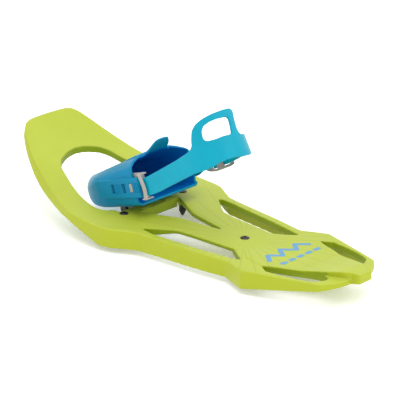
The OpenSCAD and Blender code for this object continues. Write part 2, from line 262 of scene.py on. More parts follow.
pitch = math.radians(17.5)
tilt = math.radians(30)
cup_o = (28.6 + OX, 0, 38.4 + OZ)
CUP = frame_of(cup_o, (math.cos(pitch), 0, -math.sin(pitch)), (0, 1, 0), (math.sin(pitch), 0, math.cos(pitch)))
hinge = CUP[0](np.array([[-17.0, 0, 20.8]]))[0]
STRAP = frame_of(hinge, (-math.cos(tilt), 0, math.sin(tilt)), (0, 1, 0), (math.sin(tilt), 0, math.cos(tilt)))
DECK = frame_of((OX, 0, OZ), (1, 0, 0), (0, 1, 0), (0, 0, 1))


def build(name, f, lo, hi, h, where, body, material, mirror=False):
    P, Q, N = nets(f, lo, hi, h)
    if where is STRAP:
        Q = Q[:, ::-1]
    ob = mesh_object(name, where[0](P), Q, where[1](N))
    if material is not None:
        ob.data.materials.append(material)
    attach(ob, body)
    return ob, P, N


# --- materials ---------------------------------------------------------------
def new_mat(name):
    m = bpy.data.materials.new(name)
    m.use_nodes = True
    nt = m.node_tree
    return m, nt, nt.nodes["Principled BSDF"]


def link(nt, a, b):
    nt.links.new(a, b)


def noise(nt, scale, detail=2.0, rough=0.5, coords=None, name=None):
    n = nt.nodes.new("ShaderNodeTexNoise")
    n.inputs["Scale"].default_value = scale
    n.inputs["Detail"].default_value = detail
    n.inputs["Roughness"].default_value = rough
    if coords is not None:
        link(nt, coords, n.inputs["Vector"])
    return n


def ramp(nt, fac, stops):
    r = nt.nodes.new("ShaderNodeValToRGB")
    while len(r.color_ramp.elements) < len(stops):
        r.color_ramp.elements.new(0.5)
    for e, (p, c) in zip(r.color_ramp.elements, stops):
        e.position = p
        e.color = (*c, 1) if len(c) == 3 else c
    link(nt, fac, r.inputs["Fac"])
    return r


def obj_coords(nt):
    t = nt.nodes.new("ShaderNodeTexCoord")
    return t.outputs["Object"]


def math_node(nt, op, a, b=None, c=None):
    n = nt.nodes.new("ShaderNodeMath")
    n.operation = op
    for i, v in enumerate((a, b, c)):
        if v is None:
            continue
        if isinstance(v, (int, float)):
            n.inputs[i].default_value = v
        else:
            link(nt, v, n.inputs[i])
    return n.outputs[0]


def plastic(name, low, mid, high, rough=(0.34, 0.5), grain=1400, bump=0.12, sss=0.0, sss_col=None, coat=0.0, spec=0.5):
    """Moulded plastic: soft colour drift, fine spark-eroded grain, flow marks and slightly uneven gloss."""
    m, nt, b = new_mat(name)
    co = obj_coords(nt)
    drift = noise(nt, 9, 3, 0.55, co)
    fine = noise(nt, grain, 2, 0.6, co)
    patch = noise(nt, 60, 4, 0.6, co)
    mixv = math_node(nt, "MULTIPLY_ADD", drift.outputs["Fac"], 0.7, math_node(nt, "MULTIPLY", patch.outputs["Fac"], 0.3))
    col = ramp(nt, mixv, [(0.3, low), (0.5, mid), (0.72, high)])
    link(nt, col.outputs["Color"], b.inputs["Base Color"])
    rr = nt.nodes.new("ShaderNodeMapRange")
    rr.inputs["From Min"].default_value = 0.3
    rr.inputs["From Max"].default_value = 0.7
    rr.inputs["To Min"].default_value = rough[0]
    rr.inputs["To Max"].default_value = rough[1]
    link(nt, patch.outputs["Fac"], rr.inputs["Value"])
    link(nt, rr.outputs["Result"], b.inputs["Roughness"])
    bp = nt.nodes.new("ShaderNodeBump")
    bp.inputs["Strength"].default_value = bump
    bp.inputs["Distance"].default_value = 0.00012
    link(nt, fine.outputs["Fac"], bp.inputs["Height"])
    link(nt, bp.outputs["Normal"], b.inputs["Normal"])
    b.inputs["Specular IOR Level"].default_value = spec
    if coat:
        b.inputs["Coat Weight"].default_value = coat
        b.inputs["Coat Roughness"].default_value = 0.3
    if sss:
        b.inputs["Subsurface Weight"].default_value = sss
        b.inputs["Subsurface Radius"].default_value = sss_col or (0.6, 1.0, 0.2)
        b.inputs["Subsurface Scale"].default_value = 0.004
    return m, nt, b, bp, col


def metal(name, color, rough, scratch=0.05, metallic=1.0):
    m, nt, b = new_mat(name)
    co = obj_coords(nt)
    mp = nt.nodes.new("ShaderNodeMapping")
    mp.inputs["Scale"].default_value = (300, 2400, 300)
    link(nt, co, mp.inputs["Vector"])
    n = noise(nt, 1.0, 3, 0.6, mp.outputs["Vector"])
    wear = noise(nt, 220, 4, 0.65, co)
    c2 = tuple(min(1, c * 1.5 + 0.02) for c in color)
    c1 = tuple(c * 0.7 for c in color)
    col = ramp(nt, wear.outputs["Fac"], [(0.3, c1), (0.5, color), (0.75, c2)])
    link(nt, col.outputs["Color"], b.inputs["Base Color"])
    b.inputs["Metallic"].default_value = metallic
    rr = nt.nodes.new("ShaderNodeMapRange")
    rr.inputs["To Min"].default_value = max(rough - 0.1, 0.05)
    rr.inputs["To Max"].default_value = rough + 0.12
    link(nt, n.outputs["Fac"], rr.inputs["Value"])
    link(nt, rr.outputs["Result"], b.inputs["Roughness"])
    bp = nt.nodes.new("ShaderNodeBump")
    bp.inputs["Strength"].default_value = 0.25
    bp.inputs["Distance"].default_value = scratch / 1000
    link(nt, n.outputs["Fac"], bp.inputs["Height"])
    link(nt, bp.outputs["Normal"], b.inputs["Normal"])
    return m


M_GREEN, nt, b, bp, colr = plastic("deck_green", (0.37, 0.435, 0.026), (0.395, 0.46, 0.036), (0.425, 0.49, 0.05),
                                   rough=(0.36, 0.50), bump=0.10, spec=0.3)
# faint fan of moulded lines that spreads from the rear screw
sepx = nt.nodes.new("ShaderNodeSeparateXYZ")
link(nt, obj_coords(nt), sepx.inputs["Vector"])
FX = -84.2 / 1000 + OX / 1000
dx_ = math_node(nt, "SUBTRACT", sepx.outputs["X"], FX)
dy_ = sepx.outputs["Y"]
ang = math_node(nt, "ARCTAN2", dy_, dx_)
rad_ = math_node(nt, "SQRT", math_node(nt, "ADD", math_node(nt, "MULTIPLY", dx_, dx_), math_node(nt, "MULTIPLY", dy_, dy_)))
NSP = 34.0
fr = math_node(nt, "FRACT", math_node(nt, "MULTIPLY", math_node(nt, "ADD", ang, 3.2), NSP / (2 * math.pi)))
off = math_node(nt, "ABSOLUTE", math_node(nt, "SUBTRACT", fr, 0.5))
dist_l = math_node(nt, "MULTIPLY", math_node(nt, "MULTIPLY", off, 2 * math.pi / NSP), rad_)
lm = nt.nodes.new("ShaderNodeMapRange")
lm.interpolation_type = "SMOOTHSTEP"
lm.inputs["From Min"].default_value = 0.0004
lm.inputs["From Max"].default_value = 0.0012
lm.inputs["To Min"].default_value = 1.0
lm.inputs["To Max"].default_value = 0.0
link(nt, dist_l, lm.inputs["Value"])
rm = nt.nodes.new("ShaderNodeMapRange")
rm.inputs["From Min"].default_value = 0.018
rm.inputs["From Max"].default_value = 0.035
link(nt, rad_, rm.inputs["Value"])
rm2 = nt.nodes.new("ShaderNodeMapRange")
rm2.inputs["From Min"].default_value = 0.125
rm2.inputs["From Max"].default_value = 0.165
rm2.inputs["To Min"].default_value = 1.0
rm2.inputs["To Max"].default_value = 0.0
link(nt, rad_, rm2.inputs["Value"])
geo = nt.nodes.new("ShaderNodeNewGeometry")
sepn = nt.nodes.new("ShaderNodeSeparateXYZ")
link(nt, geo.outputs["Normal"], sepn.inputs["Vector"])
upm = nt.nodes.new("ShaderNodeMapRange")
upm.inputs["From Min"].default_value = 0.8
upm.inputs["From Max"].default_value = 0.95
link(nt, sepn.outputs["Z"], upm.inputs["Value"])
fan = math_node(nt, "MULTIPLY", math_node(nt, "MULTIPLY", lm.outputs["Result"], rm.outputs["Result"]),
                math_node(nt, "MULTIPLY", rm2.outputs["Result"], upm.outputs["Result"]))
hsum = math_node(nt, "SUBTRACT", math_node(nt, "MULTIPLY", bp.inputs["Height"].links[0].from_socket, 0.35), fan)
link(nt, hsum, bp.inputs["Height"])
bp.inputs["Distance"].default_value = 0.00025
bp.inputs["Strength"].default_value = 0.22
dark = nt.nodes.new("ShaderNodeMix")
dark.data_type = "RGBA"
dark.blend_type = "MULTIPLY"
link(nt, math_node(nt, "MULTIPLY", fan, 0.30), dark.inputs["Factor"])
link(nt, colr.outputs["Color"], dark.inputs[6])
dark.inputs[7].default_value = (0.62, 0.68, 0.45, 1)
link(nt, dark.outputs[2], b.inputs["Base Color"])


def mix_painted_shade(mat, stops):
    """Mix the base colour towards darker tones of the same plastic by per-vertex values: this is painted shade on
    walls and inside hollows.
    """
    t = mat.node_tree
    bs = next(n for n in t.nodes if n.type == "BSDF_PRINCIPLED")
    src = bs.inputs["Base Color"].links[0].from_socket
    for key, c in stops:
        at = t.nodes.new("ShaderNodeAttribute")
        at.attribute_name = key
        mx = t.nodes.new("ShaderNodeMix")
        mx.data_type = "RGBA"
        link(t, at.outputs["Fac"], mx.inputs["Factor"])
        link(t, src, mx.inputs[6])
        mx.inputs[7].default_value = (*c, 1)
        src = mx.outputs[2]
    link(t, src, bs.inputs["Base Color"])


# Stores how much painted shade each vertex gets, from 0 to 1.
def set_painted_shade(ob, key, vals):
    a = ob.data.attributes.new(key, "FLOAT", "POINT")
    a.data.foreach_set("value", np.clip(vals, 0, 1).astype(np.float32))


# Painted shade: the deck's side walls get a darker green, and the walls round the openings a much darker green.
mix_painted_shade(M_GREEN, [("painted_shade1", (0.36, 0.415, 0.012)), ("painted_shade2", (0.20, 0.275, 0.0))])
M_CUP = plastic("cup_blue", (0.0, 0.172, 0.325), (0.0, 0.200, 0.37), (0.0, 0.235, 0.415), rough=(0.30, 0.42), bump=0.08, spec=0.12)[0]
M_STRAP = plastic("strap_blue", (0.0, 0.26, 0.365), (0.0, 0.305, 0.42), (0.0, 0.355, 0.475), rough=(0.32, 0.44), bump=0.08, spec=0.18)[0]
# Painted shade: the inside of the cup is mixed to a darker, deeper blue.
mix_painted_shade(M_CUP, [("painted_shade1", (0.0, 0.14, 0.48))])
M_CLIP = plastic("buckle_grey", (0.27, 0.255, 0.235), (0.32, 0.30, 0.275), (0.37, 0.35, 0.32), rough=(0.36, 0.5), bump=0.12)[0]
M_BEAR = plastic("bearing_white", (0.62, 0.61, 0.57), (0.68, 0.67, 0.62), (0.72, 0.71, 0.66), rough=(0.4, 0.5))[0]
M_BLACKP = plastic("cap_black", (0.018, 0.018, 0.02), (0.025, 0.025, 0.028), (0.035, 0.035, 0.038), rough=(0.4, 0.55))[0]
M_RUBBER = plastic("pad_rubber", (0.30, 0.355, 0.03), (0.33, 0.39, 0.04), (0.36, 0.42, 0.05), rough=(0.6, 0.75), grain=900, bump=0.3)[0]
M_PRINT = plastic("print_blue", (0.06, 0.24, 0.44), (0.075, 0.27, 0.48), (0.10, 0.30, 0.52), rough=(0.35, 0.45), grain=2500, bump=0.1)[0]
M_STEEL = metal("ground_steel", (0.55, 0.55, 0.56), 0.28)
M_RIVET = metal("rivet_steel", (0.60, 0.60, 0.60), 0.32)
M_BLACKS = metal("black_oxide", (0.035, 0.034, 0.036), 0.38, metallic=0.7)

# --- deck ---------------------------------------------------------------------
arc_x0, arc_z0, rocker = 55, 22.3, 262
top_pts = [(-256, 22.4), (-225, 22.3), (-200, 21.9), (-150, 20.9), (-112, 18.9), (-95, 19.1), (-30, 19.9), (20, 21.4)] + \
    [(arc_x0 + i * 6.2, arc_z0 + rocker - math.sqrt(rocker ** 2 - (i * 6.2) ** 2)) for i in range(29)]
low_pts = [(228.6, 77.5), (215, 66.5), (201, 55), (178, 39.5), (160, 30.5), (141, 24.5), (118, 19.3), (95, 15.2),
           (48, 0), (-143, 0), (-225, 13.5), (-256, 19.5)]
TX = np.array([p[0] for p in top_pts])
TZ = np.array([p[1] for p in top_pts])
# a smoothed top line, kept on a fine grid
gx = np.arange(-262, 236, 1.0)
gz = np.interp(gx, TX, TZ)
ker = np.hanning(15)
ker /= ker.sum()
gz = np.convolve(np.pad(gz, 7, mode="reflect", reflect_type="odd"), ker, mode="valid")
gs = np.gradient(gz, gx)


def top_z(x):
    return np.interp(x, gx, gz).astype(F32)


def top_cos(x):
    return (1 / np.sqrt(1 + np.interp(x, gx, gs) ** 2)).astype(F32)


outline_h = [(228.2, 0), (228, 17), (227.6, 26.6), (225.2, 35.4), (220.2, 42), (209, 49.6), (197, 55.4), (185.6, 60.4), (173.4, 64.8),
             (161, 69), (150, 72.6), (130, 79.6), (112, 86), (95, 90.6), (77, 91.6), (60, 91.4), (45, 90.9), (34, 88.7), (26, 84.2),
             (18, 79.4), (5, 72.6), (-15, 70.4), (-48, 67.2), (-81, 63.7), (-111, 58.8), (-124, 63.2), (-143, 70), (-176, 59.8),
             (-202, 52.4), (-226.6, 44.4), (-234, 35), (-240, 23), (-242, 11), (-252, 10), (-252, 0)]
outline_r = [0, 30, 6, 6, 8, 60, 80, 80, 80, 80, 80, 80, 60, 50, 50, 50, 30, 14, 20, 16, 14, 60, 80, 80, 9, 16, 5, 80, 40, 8, 10, 10, 1.2, 2.5, 0]
front_h = [(181.3, 0), (180.2, 10), (178, 18), (172.5, 30.5), (163.5, 38), (150, 42.6), (135, 48.6), (116, 54.2), (98, 58),
           (86, 58.8), (78, 56.6), (73, 52.5), (70.5, 48.6), (66.5, 45.8), (61, 45.8), (61, 0)]
front_r = [0, 30, 30, 18, 18, 60, 80, 60, 40, 25, 16, 12, 6, 6, 1.2, 0]
vee_h = [(44.7, 0), (44.7, 29.8), (22, 18.8), (5, 10.2), (-10, 7.2), (-28, 4.6), (-48, 1), (-48, 0)]
vee_r = [0, 1.5, 60, 20, 40, 40, 1.0, 0]
mid_p = [(10.5, 59), (1, 52), (-8, 44.6), (-18.7, 37), (-38, 34.4), (-62, 32.8), (-95.7, 30.2), (-120.6, 46.4), (-104, 50.2), (-70, 55.2), (-38, 58.6), (-4, 62.2), (8, 61.4)]
mid_r = [1.2, 14, 20, 10, 60, 60, 4, 1.0, 30, 60, 60, 30, 1.2]
tail_p = [(-150.7, 46.3), (-158, 42.5), (-180, 35), (-192, 30), (-202, 26.2), (-214, 23), (-222, 24), (-224, 31), (-218.6, 40.5), (-211, 44.4), (-197, 48.2), (-181, 51.4), (-163, 53.4)]
tail_r = [1.2, 20, 40, 40, 30, 5, 2.2, 6, 6, 20, 40, 40, 1.4]
plate_h = [(-104, 0), (-104, 22), (-122, 40), (-150.7, 47), (-158, 43), (-180, 35.5), (-192, 30.5), (-202, 26.7), (-214, 23),
           (-225, 19), (-237, 14), (-242, 10.4), (-252, 10), (-252, 0)]


def mirrored(half, radii, axis_points=True):
    """The whole outline from its half with y >= 0, first and last points on the centre line."""
    pts = list(half) + [(x, -y) for x, y in reversed(half) if y > 0.001]
    rad = list(radii) + [r for (x, y), r in zip(reversed(half), reversed(radii)) if y > 0.001]
    return rounded(pts, rad, 6)


LO2, HI2 = (-262, -1.2), (238, 104)
D_OUT = Field([mirrored(outline_h, outline_r)], LO2, HI2)
P_FRONT = mirrored(front_h, front_r)
P_VEE = mirrored(vee_h, vee_r)
P_MID = rounded(mid_p, mid_r, 6)
P_TAIL = rounded(tail_p, tail_r, 6)
D_OPEN = Field([P_FRONT, P_MID, P_TAIL], LO2, HI2)
D_VEE = Field([P_VEE], LO2, HI2)
D_PLATE = Field([mirrored(plate_h, [0, 3, 6, 3, 20, 40, 40, 40, 40, 30, 10, 1, 2.5, 0])], LO2, HI2)
low_poly = rounded([(-262, -60)] + [(-262, 19.5)] + list(reversed(low_pts)) + [(240, 90), (300, 90), (300, -60)],
                   [0, 0, 40, 30, 8, 8, 60, 60, 60, 60, 60, 60, 60, 60, 0, 0, 0], 6)
D_LOW = Field([low_poly], (-262, -20), (240, 120), 0.8)
tail_top = [(-256, 28.6), (-240, 29.4), (-231, 29.2), (-214, 25.9), (-192, 22.4), (-158, 20.9), (-112, 19.2)]
plate_side = rounded(tail_top + [(-100, 18.6), (-100, 12), (-112, 14.6), (-158, 15.6), (-192, 18), (-231, 20.6), (-262, 20.2), (-262, 28.4)],
                     [0, 6, 5, 20, 20, 20, 5, 1, 0, 10, 10, 10, 10, 0, 0], 5)
D_PSIDE = Field([plate_side], (-266, 0), (-90, 50), 0.6)
HX = np.array([p[0] for p in outline_h][::-1])
HY = np.array([p[1] for p in outline_h][::-1])
SPOTS = [(54.2, 46, 22.4), (54.2, -46, 22.4), (-84.2, 0, 19.4)]
deck_t, skirt, inner_skirt = 3.2, 3.0, 7.4
LEAN0, LEAN1 = 0.06, 0.27


def deck_f(x, y, z):
    ay = np.abs(y)
    dop = D_OPEN(x, ay)
    dv = D_VEE(x, ay)
    hw = np.maximum(np.interp(x, HX, HY), 20).astype(F32)
    crown = 0.25 * np.minimum(ay / hw, 1.1) ** 2
    zc = z + crown
    dt = (zc - top_z(x)) * top_cos(x)
    dl = D_LOW(x, z)
    # the outer skirt leans out as it goes down, most of all at the toe
    depth = np.clip(-dt, 0, 25)
    lean = depth * (LEAN0 + LEAN1 * smooth01(x, 70, 150)) * smooth01(ay, 8, 30)
    do = D_OUT(x, ay - lean)
    draft = 0.0
    side = do
    solid = both(both(side, dt, 1.4), -dl, 0.9)
    d_any = np.minimum(dop, dv)
    inner = do + skirt + draft
    h1 = np.maximum(np.maximum(inner, 2.4 - d_any), dt + deck_t)
    h2 = np.maximum(np.maximum(inner, 2.4 - dop), dt + 5.4)
    h3 = np.maximum(inner, dt + inner_skirt)
    # the web between the middle slots thins towards its edges
    fade = smooth01(x, -24, 8)
    h4 = np.maximum(np.maximum(dt + 4.2 + 4 * fade, np.maximum(20 - ay, ay - 46 - 8 * fade)), np.maximum(-94 - x, x - 8))
    hollow = np.minimum(np.minimum(h1, h2), np.minimum(h3, h4))
    solid = both(solid, -hollow, 0.5)
    # ribs, hinge ears, bridge walls, bosses
    rib = box_sd(x, ay, z, (44.7, -29, 11), (47.3, 29, 20.4), 0.5)
    rib = np.minimum(rib, box_sd(x, ay, z, (46, 22.8, 10.4), (61, 25.2, 20.4), 0.4))
    rib = np.minimum(rib, box_sd(x, y, z, (46, -1.2, 10.4), (61, 1.2, 20.4), 0.4))
    rib = np.minimum(rib, box_sd(x, ay, z, (58.6, -2, 10.4), (61, 45.8, 20.4), 0.4))
    ear = both(np.sqrt((x - 72) ** 2 + (z - 17.5) ** 2) - 6, np.abs(ay - 21.7) - 4.2, 0.6)
    ear = either(ear, box_sd(x, ay, z, (57, 17.5, 11.5), (72, 25.9, 22.3), 0.6), 1.0)
    solid = either(solid, rib, 0.8)
    solid = either(solid, ear, 0.8)
    for sx, sy, st in SPOTS:
        r = np.sqrt((x - sx) ** 2 + (y - sy) ** 2)
        # the boss tapers towards the spike
        boss = both(r - (5.3 + np.clip(z - 3.6, 0, 16) * 0.02 - np.clip(9 - z, 0, 6) * 0.17), np.abs(z - (st + 2.6) / 2) - (st - 4.6) / 2, 0.5)
        solid = either(solid, boss, 1.0)
    # openings, their rims rounded
    solid = both(solid, -d_any, 1.3)
    # raised rear plate
    dpl = both(both(D_PLATE(x, ay), -dop, 0.8), D_PSIDE(x, zc - 1.0 * np.minimum(ay / 50, 1) ** 2), 1.2)
    solid = either(solid, dpl, 0.6)
    # recesses round the screws, spike sockets, bushes and pads
    for sx, sy, st in SPOTS:
        r = np.sqrt((x - sx) ** 2 + (y - sy) ** 2)
        cs = np.maximum(r - 4.9, (st - 1.4) - z)
        solid = both(solid, -cs, 0.5)
        solid = np.maximum(solid, -np.maximum(r - 4.1, z - 14))
        solid = np.maximum(solid, -(r - 2.0))
    solid = np.maximum(solid, -np.maximum(np.sqrt((x - 72) ** 2 + (z - 17.5) ** 2) - 4.0, np.abs(ay - 22) - 6))
    solid = np.maximum(solid, -box_sd(x, ay, z, (47.4, 11.9, 21.5), (55.6, 24.1, 26), 0.3))
    return solid


VOX = 1.35
deck, P, N = build("deck", deck_f, (-252.6, -93.2, -0.5), (228.8, 93.2, 89.5), VOX, DECK, "frame", M_GREEN)
# Painted shade: faces that turn sideways or down are marked to be darker, most of all those close to an opening.
D1 = np.abs(np.minimum(D_OPEN(P[:, 0], np.abs(P[:, 1])), D_VEE(P[:, 0], np.abs(P[:, 1]))))
wall_shade = 1 - smooth01(N[:, 2], 0.25, 0.8)
opening_shade = 1 - smooth01(D1, 1.6, 3.2)
set_painted_shade(deck, "painted_shade1", wall_shade)
set_painted_shade(deck, "painted_shade2", wall_shade * opening_shade * 0.85)
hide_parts("deck_frame")

# --- toe cup --------------------------------------------------------------------
cup_len, cup_w, cup_t = 127, 46.2, 2.6
plan_pts = [(123.5, 0), (122.2, 6.4), (118.4, 13.4), (112.6, 19.8), (105.2, 26), (97, 32.2), (88, 37.8), (78, 42.0), (67, 44.9), (55, 46.2), (40, 46.4),
            (-30, 46.2), (-30, 0)]
plan = mirrored(plan_pts, [0, 12, 14, 14, 20, 30, 30, 40, 40, 60, 60, 0, 0])
D_PLAN = Field([plan], (-32, -1), (136, 66), 0.5)
side_low = rounded([(-40, -1.4), (60, -1.4), (88, -0.4), (103, 2.4), (113, 7.4), (119.6, 13), (123.6, 19.4), (124, 25), (124, 90), (-40, 90)],
                   [0, 60, 40, 30, 20, 10, 6, 5, 0, 0], 6)
D_SIDE = Field([side_low], (-34, -12), (140, 70), 0.5)
roof_f = np.array([-40, 9, 42, 72, 95, 105, 115, 121, 127, 140])
roof_w = np.array([63.9, 53, 45.4, 38.4, 33.4, 31.2, 28.6, 26.2, 22.5, 14])
crown_u = np.array([0, 0.26, 0.476, 0.69, 0.77, 0.965, 1.0, 1.3])
crown_c = np.array([1.0, 0.996, 0.972, 0.905, 0.868, 0.765, 0.741, 0.56])
gu = np.linspace(0, 1.3, 80)
gc = np.interp(gu, crown_u, crown_c)
kk = np.hanning(9)
kk /= kk.sum()
gc = np.convolve(np.pad(gc, 4, mode="edge"), kk, mode="valid")
axis_f = (72 - 28.6) * math.cos(pitch) - (17.5 - 38.4) * math.sin(pitch)
axis_w = (72 - 28.6) * math.sin(pitch) + (17.5 - 38.4) * math.cos(pitch)


def cup_outer(f, y, w):
    ay = np.abs(y)
    flare = 1.5 * (1 - smooth01(w, -3, 8.5)) + np.clip(w - 9, 0, 40) * 0.0
    dw = D_PLAN(f, ay) + flare
    ds = D_SIDE(f, w)
    half = 46.2 * (1 - 0.55 * smooth01(f, 70, 132))
    u = np.minimum(ay / half, 1.3)
    rf = np.interp(f, roof_f, roof_w).astype(F32)
    top = 6 + (rf - 6) * np.interp(u, gu, gc)
    slope = 0.25 + 0.5 * u
    dr = (w - top) / np.sqrt(1 + slope * slope * 0.6)
    r1 = 4 + 7 * smooth01(f, 70, 118)
    r2 = 5 + 6 * smooth01(f, 60, 115)
    return both(both(dw, ds, r1), dr, r2)


rim_poly = rounded([(-60, -30), (-0.2, -30), (-0.2, 2.6), (2.6, 3.4), (2.8, 30), (1.9, 39.3), (8.6, 46), (9.3, 52), (9.3, 90), (-60, 90)],
                   [0, 0, 0.4, 1.2, 20, 6, 8, 6, 0, 0], 5)
D_RIM = Field([rim_poly], (-20, -20), (40, 80), 0.5)
tongue_plan = rounded([(34, 24), (16, 25.5), (9.5, 22.5), (4.2, 15.4), (-3, 13.6), (-8.2, 9.4), (-9.4, 2), (-9.4, -2), (-8.2, -9.4), (-3, -13.6), (4.2, -15.4), (9.5, -22.5), (16, -25.5), (34, -24)],
                      [0, 4, 8, 9, 9, 7, 6, 6, 7, 9, 9, 8, 4, 0], 8)
D_TPLAN = Field([tongue_plan], (-20, -32), (40, 32), 0.5)
tongue_side = rounded([(32, 46.9), (16, 50.9), (9, 53.2), (-0.8, 59.6), (-7.4, 64.8), (-8.8, 63.2), (-2.4, 57.8), (7.6, 51.0), (16, 48.2), (32, 44.6)],
                      [0, 10, 12, 20, 0.8, 0.8, 20, 12, 10, 0], 6)
D_TSIDE = Field([tongue_side], (-20, 30), (40, 75), 0.4)


def cup_f(f, y, w):
    ay = np.abs(y)
    o = cup_outer(f, y, w)
    fo = np.maximum(f, 12.0)
    inner = cup_outer(f, y, w) + cup_t
    shell = both(o, -inner, 0.8)
    shell = both(shell, -D_RIM(f, w), 0.9)
    tongue = both(D_TPLAN(f, y), D_TSIDE(f, w + 0.011 * ay * ay * (1 - smooth01(f, 4, 16))), 0.9)
    shell = either(shell, tongue, 1.2)
    # raised side bands that carry the slots, fading out towards the toe
    proud = 2.2 * (1 - smooth01(f, 30, 66))
    wl = 9 + 0.04 * np.clip(f - 20, 0, 60)
    wh = 31.5 - 0.03 * np.clip(f - 20, 0, 60)
    bandw = np.maximum(wl - w, w - wh)
    for s, end in ((1, -7), (-1, -21.5)):
        ys = y * s
        out = D_PLAN(f, ay) - proud
        out = np.where(f < 12, ys - (46.4 + 2.0), out)
        bw = bandw
        if s < 0:
            tt = smooth01(-f, 0, 15)
            bw = np.maximum(wl + 5.6 * tt - w, w - wh + 4.6 * tt)
            bw = np.where(f < -15, np.sqrt((f + 15) ** 2 + (w - 20.8) ** 2) - 6.2, bw)
        b = both(both(out, bw, 0.9), np.maximum(end - f, f - 66), 1.2)
        b = np.maximum(b, 44.4 - ys)
        shell = either(shell, b, 0.5)
    # slots for the clip
    for fs in (6, 17.8, 35.6):
        sl = box_sd(f, ay, w, (fs - 2.5, 40, 15.4), (fs + 2.5, 56, 25.6), 0.6)
        shell = both(shell, -sl, 0.4)
    # upright ribs between the slots
    for fr in (29.6, 26.6, 23.6, 0.4, -2.6, -5.6):
        on = both(np.abs(f - fr) - 0.75, np.abs(w - 20.5) - 5.4, 0.5)
        yy = D_PLAN(f, ay)
        yy = np.where(f < 12, ay - 46.4, yy) - proud - 0.65
        rb = both(both(on, yy, 0.5), 44.6 - ay, 0)
        shell = np.minimum(shell, rb)
    # vents beside the tongue
    vent = box_sd(f, ay, w, (44, 21.0, 24), (71, 23.4, 70), 1.1)
    shell = both(shell, -vent, 0.4)
    # hinge lugs
    lug = both(np.sqrt((f - axis_f) ** 2 + (w - axis_w) ** 2) - 6, np.abs(ay - 11) - 5, 0.6)
    lug = either(lug, box_sd(f, ay, w, (axis_f - 6, 6, axis_w), (axis_f + 6, 16, 1.4), 0.5), 0.6)
    shell = either(shell, lug, 1.0)
    shell = np.maximum(shell, 2.58 - np.sqrt((f - axis_f) ** 2 + (w - axis_w) ** 2))
    # rivet hole of the right arm
    shell = np.maximum(shell, -np.maximum(np.sqrt((f + 17) ** 2 + (w - 20.8) ** 2) - 2.5, y + 30))
    return shell


VC = 0.8
cup, PC, NC = build("cup", cup_f, (-22, -50, -14), (126, 50, 67), VC, CUP, "binding", M_CUP)
# Painted shade: the shell's inner face, from f = 4 forward, is marked to be darker.
CI = cup_outer(PC[:, 0], PC[:, 1], PC[:, 2])
set_painted_shade(cup, "painted_shade1", (1 - smooth01(CI, -0.9 * cup_t, -0.5 * cup_t)) * (PC[:, 0] > 4))
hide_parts("toe_cup")

# --- heel strap ------------------------------------------------------------------
SR, ST, SC = 39.7, 3.4, 64.6
aL = math.radians(6.9)
arc = SR * (math.pi - 2 * aL)
sil = rounded([(-70, -10.4), (-55.6, -11), (-28, -9.1), (2, -7), (13, -7.5), (19, -8.1), (32, -6.2), (42, -5.4), (52, -5.8),
               (62, -8), (78, -8.8), (95, -8.2), (116, -7), (140, -8.4), (152, -8.6), (152, 8.4), (140, 10.8), (116, 14.6), (95, 15),
               (80, 14.8), (71.6, 16), (69.6, 22), (72, 32), (75.2, 39), (75.4, 42.8), (70.6, 45.4), (58, 46), (43, 45.8), (31, 44), (23.4, 41.2), (17.4, 36.2),
               (13.6, 27.5), (11.4, 20.6), (6.5, 16.8), (-14.9, 13.6), (-42.6, 11), (-60, 9.6), (-70, 9.2)],
              [2, 60, 60, 20, 10, 10, 20, 30, 20, 20, 30, 60, 60, 60, 2, 2, 40, 60, 60, 5, 5, 20, 20, 4, 4, 5, 20, 60, 30, 12, 12, 20, 8, 14, 60, 60, 30, 2], 6)
hole = rounded([(26.2, 25), (27.4, 32), (31.2, 36.4), (38, 38.4), (47, 38.9), (60.4, 37.4), (62.8, 35), (62.2, 29), (59.6, 20.4), (57.6, 18.6), (47, 19.5), (38, 19.3), (29.8, 20.2), (27, 22)],
               [6, 6, 5, 10, 30, 2.5, 2, 20, 3, 3, 30, 20, 4, 4], 6)
D_SIL = Field([sil], (-84, -24), (170, 60), 0.5)
D_HOLE = Field([hole], (-84, -24), (170, 60), 0.5)
tailp = [(46, -43.4), (38, -45.0), (34.5, -46.3), (31.5, -48.4), (28, -50.6), (24.5, -51.9), (18, -52.2), (6.5, -52.2)]


def strap_uv(s, y):
    ay = np.abs(y)
    cx = s - SC
    th = np.arctan2(ay, cx)
    edge = math.pi / 2 - aL
    inarc = th < edge
    v_arc = np.sqrt(cx * cx + y * y) - SR
    u_arc = (edge - th) * SR
    nx_, ny_ = math.sin(aL), math.cos(aL)
    v_leg = cx * nx_ + ay * ny_ - SR
    u_leg = -(cx * -ny_ + ay * nx_)
    u_leg = cx * ny_ - ay * nx_
    u = np.where(inarc, u_arc, u_leg)
    v = np.where(inarc, v_arc, v_leg)
    u = np.where(y >= 0, u, arc - u)
    return u, v


